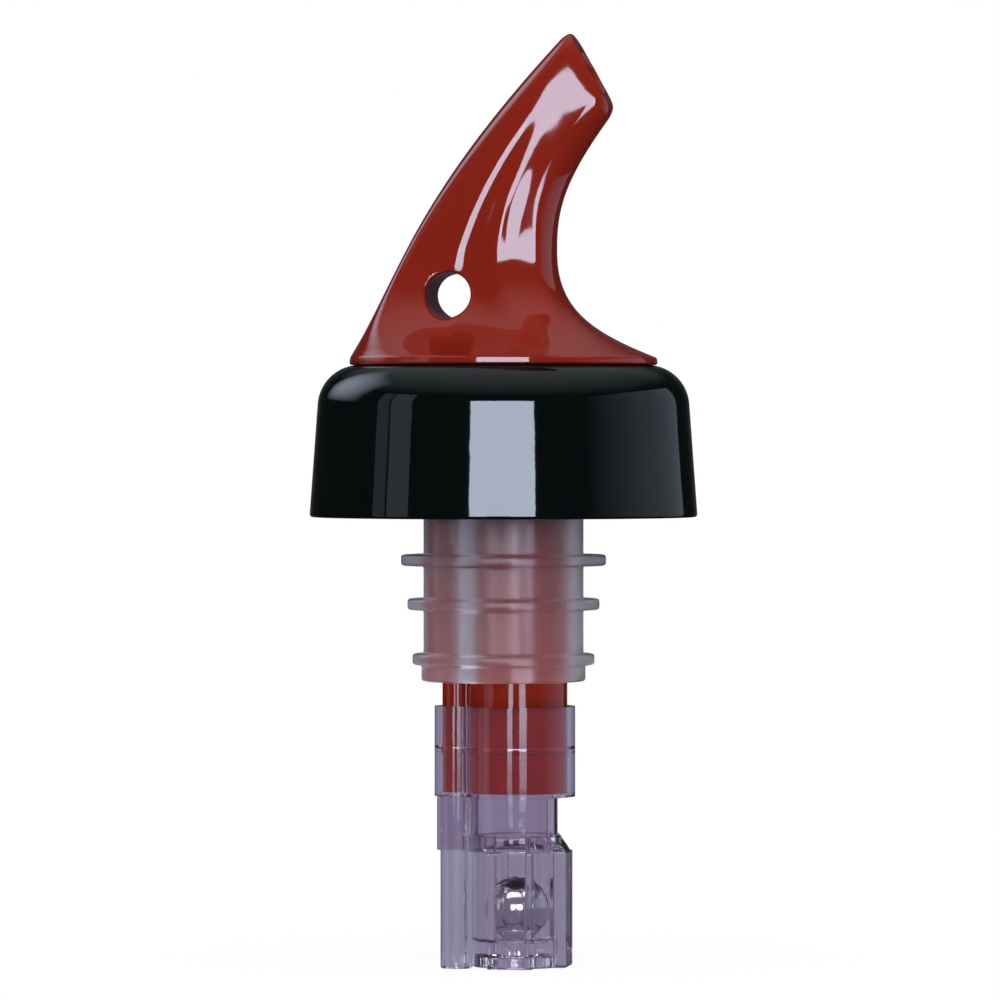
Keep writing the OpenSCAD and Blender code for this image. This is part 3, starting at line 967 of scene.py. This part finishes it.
def vent_cutter(form, n=72):
    """Cross hole with a rim that rounds over into the spout's flanks."""
    s = form.s
    a = around(n)
    edge, turn, steps, lift = s.hole_edge, math.radians(84.0), 8, 0.00003
    x0, z0 = form.stem.vent_x - s.hole_off, form.top + s.hole_h

    def ring(r, sink):
        x, z = x0 + r * np.cos(a), z0 + r * np.sin(a)
        y = np.array([form.flank(*spot) for spot in zip(x, z)])
        return np.stack([x, y - sink, z], 1)

    half = [ring(s.hole_r, edge)]
    for k in range(1, steps + 1):
        share = k / steps
        out, deep = 1 - math.cos(turn * share), 1 - math.sin(turn * share)
        half.append(ring(s.hole_r + edge * out, edge * deep - lift * share))
    half.append(half[-1] + np.array([0.0, 0.003, 0.0]))
    mirror = np.array([1.0, -1.0, 1.0])
    return skin_over("vent_cutter", [q * mirror for q in reversed(half)] + half)


# Operators

OPTIONS = {"REGISTER", "UNDO"}
DONE = {"FINISHED"}


class POURER_OT_stage(bpy.types.Operator):
    """Sets up the pale floor, the studio light and the camera"""

    bl_idname = "pourer.stage"
    bl_label = "Stage"
    bl_options = OPTIONS

    def execute(self, context):
        context.scene.view_settings.view_transform = "Standard"
        set_camera(context.scene)
        set_floor()
        set_world(context.scene)
        set_lights()
        return DONE


class POURER_OT_spout(bpy.types.Operator):
    """Builds the curved red spout"""

    bl_idname = "pourer.spout"
    bl_label = "Spout"
    bl_options = OPTIONS

    def execute(self, context):
        form = SpoutForm()
        stem = form.stem
        piece = spout_shell(form)
        combine(
            piece,
            "DIFFERENCE",
            vent_cutter(form),
            keyhole_bar(stem.fit, form.top - OVERRUN, stem.top),
            rod(stem.vent_x, stem.vent_r, stem.top - OVERRUN, form.top + form.s.hole_h, 32),
        )
        soften(piece)
        finish_piece(piece, red_gloss(), "pourer", "spout")
        return DONE


class POURER_OT_stem(bpy.types.Operator):
    """Builds the twin-bore stem with its snap bead and valve seat"""

    bl_idname = "pourer.stem"
    bl_label = "Stem"
    bl_options = OPTIONS

    def execute(self, context):
        p = context.scene.pourer
        s = p.stem
        low, high = s.end - OVERRUN, s.top + OVERRUN
        mid = (p.chamber.top + s.end) / 2
        piece = keyhole_bar(0.0, s.end, s.top)
        piece.name = "stem_bar"
        combine(piece, "UNION", keyhole_bar(s.bead, mid - s.bead_h / 2, mid + s.bead_h / 2))
        combine(
            piece,
            "DIFFERENCE",
            rod(s.line_x, s.bore_r, low, high, 64),
            rod(s.line_x, s.seat_r, s.end, s.end + s.seat_h, 64, s.bore_r),
            rod(s.vent_x, s.vent_r, low, high, 32),
        )
        soften(piece, 0.00008, steps=2)
        finish_piece(piece, red_gloss(), "pourer", "stem")
        return DONE


class POURER_OT_collar(bpy.types.Operator):
    """Turns the gloss black collar"""

    bl_idname = "pourer.collar"
    bl_label = "Collar"
    bl_options = OPTIONS

    def execute(self, context):
        p = context.scene.pourer
        c = p.collar
        lean = (c.low_r - c.top_r) / (c.top - c.shoulder - c.end)
        roof = c.top - c.plate
        outer = c.low_r - lean * (c.top - c.end)
        inner = c.low_r - c.wall - lean * (roof - c.end)
        bore_edge = 0.0002
        corners = [
            (c.low_r, c.end, c.edge),
            (outer, c.top, c.shoulder),
            (c.bore_r, c.top, bore_edge),
            (c.bore_r, roof, bore_edge),
            (inner, roof, c.shoulder - c.wall),
            (c.low_r - c.wall, c.end, c.edge),
        ]
        material = black_gloss()
        piece = turned("collar_cap", corners, 0.0, p.finish.steps, material)
        smooth(piece, 60.0)
        finish_piece(piece, material, "pourer", "collar")
        return DONE


class POURER_OT_cork(bpy.types.Operator):
    """Turns the milky cork with its three sealing fins"""

    bl_idname = "pourer.cork"
    bl_label = "Cork"
    bl_options = OPTIONS

    def execute(self, context):
        p = context.scene.pourer
        c = p.cork
        core, core_edge = 0.003, 0.0001
        head_edge, neck_edge, root_edge = 0.0003, 0.0004, 0.00025
        foot = c.body_r + c.foot_reach
        corners = [
            (core, c.head_t, core_edge),
            (c.head_r, c.head_t, head_edge),
            (c.head_r, 0.0, head_edge),
            (c.body_r, 0.0, neck_edge),
        ]
        for z, reach, below in (
            (c.fin_1, c.reach_1, c.body_r),
            (c.fin_2, c.reach_2, c.body_r),
            (c.fin_3, c.reach_3, foot),
        ):
            corners += [
                (c.body_r, z + c.fin_t / 2, root_edge),
                (c.body_r + reach, z + c.fin_t / 2, c.fin_edge),
                (c.body_r + reach, z - c.fin_t / 2, c.fin_edge),
                (below, z - c.fin_t / 2, root_edge),
            ]
        corners += [(foot, c.end, head_edge), (core, c.end, core_edge)]
        material = milky_cork()
        piece = turned("cork_stopper", corners, 0.0, p.finish.steps, material)
        bore = keyhole_bar(p.stem.fit, c.end - OVERRUN, c.head_t + OVERRUN)
        combine(piece, "DIFFERENCE", bore)
        soften(piece)
        finish_piece(piece, material, "pourer", "cork")
        return DONE


class POURER_OT_chamber(bpy.types.Operator):
    """Builds the clear chamber: socket, windowed neck, ring and tube sleeve"""

    bl_idname = "pourer.chamber"
    bl_label = "Chamber"
    bl_options = OPTIONS

    def execute(self, context):
        p = context.scene.pourer
        c, s = p.chamber, p.stem
        socket_end = s.end - c.shoulder_t
        in_shoulder = socket_end + c.shoulder_t / 2
        window_end = c.ring_end + c.ring_h
        mid = (c.top + s.end) / 2
        bead = s.bead_h / 2 + s.fit
        piece = keyhole_bar(s.fit + c.wall, socket_end, c.top)
        piece.name = "chamber_body"
        combine(
            piece,
            "UNION",
            rod(s.line_x, c.neck_r + c.wall, c.ring_end, in_shoulder),
            rod(s.line_x, c.ring_r, c.ring_end, window_end),
            rod(s.vent_x, c.sleeve_r, c.ring_end, in_shoulder, 64),
            block(
                (s.vent_x, -s.web_half, c.ring_end),
                (s.line_x - s.main_r * 0.93, s.web_half, socket_end + 0.0001),
            ),
        )
        # the window is open to the front, and its sill slopes down outwards
        face = s.line_x + c.window_off
        wide, deep = s.main_r + 0.002, 0.004
        window = [
            (face, socket_end),
            (face, window_end),
            (face + deep, window_end - deep),
            (face + deep, socket_end),
        ]
        sides = [np.array([(x, y, z) for x, z in window]) for y in (-wide, wide)]
        low, above = c.ring_end - OVERRUN, s.end + 0.0005
        combine(
            piece,
            "DIFFERENCE",
            keyhole_bar(s.fit, s.end, c.top + OVERRUN),
            keyhole_bar(s.fit + s.bead, mid - bead, mid + bead),
            rod(s.line_x, c.neck_r, low, above),
            rod(s.vent_x, c.tube_r + 0.00003, low, c.tube_top, 64),
            rod(s.vent_x, s.vent_r, c.tube_top - 0.0005, above, 32),
            skin_over("window", sides),
        )
        soften(piece, c.edge)
        material = clear_plastic("clear_chamber", p.finish.clear, 0.02)
        finish_piece(piece, material, "pourer", "chamber")
        return DONE


class POURER_OT_cup(bpy.types.Operator):
    """Builds the clear metering cup with its three ribs"""

    bl_idname = "pourer.cup"
    bl_label = "Metering cup"
    bl_options = OPTIONS

    def execute(self, context):
        p = context.scene.pourer
        c = p.chamber
        floor_z = c.cup_end + c.floor_t
        hollow_z = c.cup_end + c.foot_hollow
        rim_z = c.ring_end - 2e-5
        spigot_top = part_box("metering_cup")[1].z
        groove_r, groove_edge = c.spigot_r - 0.0002, 0.00004
        core, core_edge = 0.0006, 0.00003
        corners = [
            (c.cup_r, c.cup_end, c.edge, 1.0),
            (c.cup_r, rim_z, c.edge, 1.0),
            (groove_r, rim_z, groove_edge),
            (groove_r, c.ring_end + 0.0001, groove_edge),
            (c.spigot_r, c.ring_end + 0.0003, groove_edge),
            (c.spigot_r, spigot_top, c.edge),
            (c.cup_bore, spigot_top, c.edge, 0.0, 1.0),
            (c.cup_bore, floor_z, 0.0004, 0.0, 1.0),
            (core, floor_z, core_edge),
            (core, hollow_z, core_edge),
            (c.foot_r, hollow_z, 0.0003),
            (c.foot_r, c.cup_end, c.edge),
        ]
        material = clear_plastic("clear_cup", p.finish.cup, 0.02)
        inputs = {
            "Cup Radius": c.cup_r,
            "Rib Width": c.rib_w,
            "Rib Reach": c.rib_reach,
            "Bore Radius": c.cup_bore,
            "Flute Width": c.flute_w,
            "Flute Reach": c.flute_reach,
            "Rib Edge": c.rib_edge,
            "Line": p.stem.line_x,
            "Bleed Radius": c.bleed_r,
            "Bleed Spacing": c.bleed_gap,
            "Floor": floor_z,
            "Steps Around": 360,
            "Finish": material,
        }
        piece = turn_profile("cup_body", corners, ribbed_tree(), inputs)
        smooth(piece)
        finish_piece(piece, material, "pourer", "metering_cup")
        return DONE


class POURER_OT_tube(bpy.types.Operator):
    """Turns the clear breather tube"""

    bl_idname = "pourer.tube"
    bl_label = "Breather tube"
    bl_options = OPTIONS

    def execute(self, context):
        p = context.scene.pourer
        c = p.chamber
        top_edge, end_edge = 0.0001, 0.0002
        corners = [
            (c.tube_r, c.tube_end, end_edge),
            (c.tube_r, c.tube_top, top_edge),
            (c.tube_bore, c.tube_top, top_edge),
            (c.tube_bore, c.tube_end, end_edge),
        ]
        material = clear_plastic("clear_grey", p.finish.tube, 0.10)
        piece = turned("air_tube", corners, p.stem.vent_x, 72, material)
        smooth(piece)
        finish_piece(piece, material, "pourer", "breather_tube")
        return DONE


class POURER_OT_ball(bpy.types.Operator):
    """Builds the polished steel ball"""

    bl_idname = "pourer.ball"
    bl_label = "Ball"
    bl_options = OPTIONS

    def execute(self, context):
        low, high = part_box("ball")
        mesh = bpy.data.meshes.new("steel_ball")
        with edited(mesh) as work:
            radius = context.scene.pourer.chamber.ball_r
            bmesh.ops.create_icosphere(work, subdivisions=5, radius=radius)
            bmesh.ops.translate(work, verts=work.verts, vec=(low + high) / 2)
        mesh.shade_smooth()
        piece = piece_of("steel_ball", mesh)
        finish_piece(piece, polished_steel(), "ball", "ball")
        return DONE


# Stage

TURN = math.radians(9.0)  # the pourer stands turned by this angle to the camera
RIGHT = Vector((math.cos(TURN), math.sin(TURN), 0.0))
AWAY = Vector((-math.sin(TURN), math.cos(TURN), 0.0))
UP = Vector((0.0, 0.0, 1.0))
BACKDROP = (0.28, 0.28, 0.37, 1.0)  # what clear plastic shows behind it


def set_camera(scene):
    """Camera at the photograph's angle: long lens, level with the collar."""
    data = bpy.data.cameras.new("camera")
    data.sensor_width = 36.0
    data.lens = 234.0
    data.clip_start = 0.01
    camera = bpy.data.objects.new("camera", data)
    scene.collection.objects.link(camera)
    camera.location = -0.65 * AWAY - 0.003 * UP
    aim = -0.00035 * RIGHT - 0.010 * UP
    camera.rotation_euler = (aim - camera.location).to_track_quat("-Z", "Y").to_euler()
    scene.camera = camera


def set_floor():
    """Pale floor: white to the camera but for the shadow, backdrop grey through clear plastic."""
    z, half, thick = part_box("breather_tube")[0].z - 0.00002, 3.0, 0.01
    floor = block((-half, -half, z - thick), (half, half, z))
    floor.name = floor.data.name = "floor"
    material = bpy.data.materials.new("pale_floor")
    material.use_nodes = True
    tree = material.node_tree
    tree.nodes.remove(tree.nodes["Principled BSDF"])
    matt = add(tree, "ShaderNodeBsdfDiffuse", {"Color": (0.8, 0.8, 0.8, 1.0)})
    white = add(tree, "ShaderNodeEmission", {"Strength": 1.0})
    grey = add(tree, "ShaderNodeEmission", {"Color": BACKDROP, "Strength": 1.0})
    clear = add(tree, "ShaderNodeBsdfTransparent")
    sight = add(tree, "ShaderNodeLightPath").outputs
    place = add(tree, "ShaderNodeTexCoord")
    away = add(tree, "ShaderNodeVectorMath", operation="LENGTH")
    # the shadow keeps a tenth of its depth near the pourer and fades out away from it
    share = add(tree, "ShaderNodeMapRange", {"From Min": 0.02, "From Max": 0.15, "To Min": 0.90})
    join(
        tree,
        (place.outputs["Object"], away.inputs[0]),
        (away.outputs["Value"], share.inputs["Value"]),
    )
    layers = (
        (maths(tree, "MULTIPLY", sight["Is Camera Ray"], share.outputs["Result"]), white),
        (maths(tree, "GREATER_THAN", sight["Glossy Depth"], 0.5), clear),
        (maths(tree, "GREATER_THAN", sight["Transmission Depth"], 0.5), grey),
    )
    shown = layered(tree, matt.outputs[0], layers)
    join(tree, (shown, tree.nodes["Material Output"].inputs["Surface"]))
    floor.data.materials.append(material)


def set_world(scene):
    """Studio surroundings: white to the camera, grey through clear plastic, dim where mirrored."""
    world = bpy.data.worlds.new("studio")
    scene.world = world
    world.use_nodes = True
    tree = world.node_tree
    tree.nodes.clear()

    def ramp(value, start, end, low, high):
        node = add(tree, "ShaderNodeMapRange", {"From Min": start, "From Max": end})
        node.inputs["To Min"].default_value = low
        node.inputs["To Max"].default_value = high
        join(tree, (value, node.inputs["Value"]))
        return node.outputs["Result"]

    def glow(rgb, strength=1.0):
        node = add(tree, "ShaderNodeBackground", {"Color": (*rgb[:3], 1.0)})
        if isinstance(strength, float):
            node.inputs["Strength"].default_value = strength
        else:
            join(tree, (strength, node.inputs["Strength"]))
        return node

    sight = add(tree, "ShaderNodeLightPath").outputs
    place = add(tree, "ShaderNodeTexCoord").outputs["Generated"]
    split = add(tree, "ShaderNodeSeparateXYZ")
    dot = add(tree, "ShaderNodeVectorMath", {1: AWAY}, operation="DOT_PRODUCT")
    join(tree, (place, dot.inputs[0]), (place, split.inputs[0]))
    behind = dot.outputs["Value"]
    # mirrored light: dark at the sides, paler overhead, more so behind the pourer
    back = maths(tree, "MAXIMUM", maths(tree, "SUBTRACT", behind, 0.5), 0.0)
    height = maths(tree, "ADD", split.outputs["Z"], maths(tree, "MULTIPLY", back, 0.4))
    dim = glow((0.9, 0.95, 1.0), ramp(height, 0.50, 1.0, 0.015, 0.55))
    # what is mirrored inside clear plastic, the light on the open part and that inside plastic
    caught = glow((0.9, 0.9, 1.0), ramp(behind, -0.6, 0.7, 0.34, 0.06))
    fill = glow((0.92, 0.95, 1.0), 0.30)
    inner = glow((1.0, 0.90, 0.84), 4.0)
    grey, white = glow(BACKDROP), glow((1.0, 1.0, 1.0))
    mirrored = maths(tree, "GREATER_THAN", sight["Glossy Depth"], 0.5)
    through = maths(tree, "GREATER_THAN", sight["Transmission Depth"], 0.5)
    scattered = maths(tree, "GREATER_THAN", sight["Diffuse Depth"], 0.5)
    # gloss at a grazing angle mirrors a little of the backdrop
    grazed = maths(tree, "MULTIPLY", sight["Is Glossy Ray"], ramp(behind, 0.90, 0.99, 0.0, 0.15))
    layers = (
        (mirrored, dim),
        (maths(tree, "MAXIMUM", through, grazed), grey),
        (maths(tree, "MULTIPLY", through, mirrored), caught),
        (maths(tree, "MULTIPLY", through, scattered), inner),
        (sight["Is Camera Ray"], white),
    )
    out = add(tree, "ShaderNodeOutputWorld")
    join(tree, (layered(tree, fill.outputs[0], layers), out.inputs["Surface"]))


def panel(name, side, up, wide, tall, glow, far=0.9, fade=None, hidden=False):
    """Soft light panel, side and up degrees off the camera's line, wide by tall degrees in size.

    A fade runs its light along X or Y between two shares of the panel, from a least level to full,
    or falls off all round. A hidden panel isn't mirrored.
    """
    data = bpy.data.lights.new(name, "AREA")
    data.shape = "RECTANGLE"
    data.size = 2 * far * math.tan(math.radians(wide / 2))
    data.size_y = 2 * far * math.tan(math.radians(tall / 2))
    data.energy = glow * 4.0 * data.size * data.size_y
    data.color = (0.72, 0.81, 1.0)
    if fade:
        data.use_nodes = True
        tree = data.node_tree
        place = add(tree, "ShaderNodeNewGeometry")
        split = add(tree, "ShaderNodeSeparateXYZ")
        join(tree, (place.outputs["Parametric"], split.inputs[0]))
        if fade == "round":
            strength = 16.0
            for axis in "XY":
                across = split.outputs[axis]
                hump = maths(tree, "MULTIPLY", maths(tree, "SUBTRACT", 1.0, across), across)
                strength = maths(tree, "MULTIPLY", hump, strength)
        else:
            axis, start, end, least = fade
            ramp = add(tree, "ShaderNodeMapRange", {"From Min": start, "From Max": end})
            ramp.inputs["To Min"].default_value = least
            join(tree, (split.outputs[axis], ramp.inputs["Value"]))
            strength = ramp.outputs["Result"]
        join(tree, (strength, tree.nodes["Emission"].inputs["Strength"]))
    lamp = bpy.data.objects.new(name, data)
    bpy.context.scene.collection.objects.link(lamp)
    a, b = math.radians(side), math.radians(up)
    toward = math.cos(b) * (math.sin(a) * RIGHT - math.cos(a) * AWAY) + math.sin(b) * UP
    lamp.location = far * toward
    lamp.visible_glossy = not hidden
    lamp.rotation_euler = toward.to_track_quat("Z", "Y").to_euler()


def set_lights():
    """A soft box behind the camera, open where the camera stands, and dim panels at the sides."""
    box = {"glow": 10.5, "far": 3.0}
    low_fade = ("Y", 0.0, 0.3, 0.15)
    panel("softbox_left", side=-15.0, up=1.0, wide=10.0, tall=10.4, fade=low_fade, **box)
    panel("softbox_right", side=11.3, up=1.0, wide=14.6, tall=10.4, fade=low_fade, **box)
    panel("softbox_top", side=-0.7, up=10.4, wide=38.6, tall=8.4, **box)
    panel("ceiling", side=0.0, up=70.0, wide=70.0, tall=50.0, glow=3.6, hidden=True)
    panel("rim_left", side=-124.0, up=28.0, wide=46.0, tall=42.0, glow=1.8, fade="round")
    panel("window_left", side=-65.5, up=2.0, wide=15.0, tall=50.0, glow=0.55)
    panel("strip_left", side=-79.0, up=2.0, wide=9.0, tall=50.0, glow=0.35)
    wall_fade = ("X", 0.0, 0.5, 0.0)
    panel("wall_right", side=93.0, up=2.0, wide=82.0, tall=50.0, glow=0.42, fade=wall_fade)


# Panel and registration

STEPS = (
    POURER_OT_stage,
    POURER_OT_spout,
    POURER_OT_stem,
    POURER_OT_collar,
    POURER_OT_cork,
    POURER_OT_chamber,
    POURER_OT_cup,
    POURER_OT_tube,
    POURER_OT_ball,
)


class VIEW3D_PT_pourer(bpy.types.Panel):
    """Sizes and build steps of the pourer"""

    bl_label = "Liquor pourer"
    bl_space_type = "VIEW_3D"
    bl_region_type = "UI"
    bl_category = "Pourer"

    def draw(self, context):
        for step in STEPS:
            self.layout.operator(step.bl_idname)
        for group in ("stem", "spout", "collar", "cork", "chamber", "finish"):
            box = self.layout.box()
            box.label(text=group.capitalize())
            sizes = getattr(context.scene.pourer, group)
            for key in sizes.bl_rna.properties.keys():
                if key not in ("rna_type", "name"):
                    box.prop(sizes, key)


CLASSES = (
    StemSizes,
    SpoutSizes,
    CollarSizes,
    CorkSizes,
    ChamberSizes,
    Finishes,
    PourerSettings,
    *STEPS,
    VIEW3D_PT_pourer,
)


def register():
    """Registers the classes and gives the scene its settings."""
    for cls in CLASSES:
        bpy.utils.register_class(cls)
    bpy.types.Scene.pourer = PointerProperty(type=PourerSettings)


def unregister():
    """Takes back what register adds."""
    del bpy.types.Scene.pourer
    for cls in reversed(CLASSES):
        bpy.utils.unregister_class(cls)


def main():
    register()
    for step in STEPS:
        group, name = step.bl_idname.split(".")
        getattr(getattr(bpy.ops, group), name)()


if __name__ == "__main__":
    main()
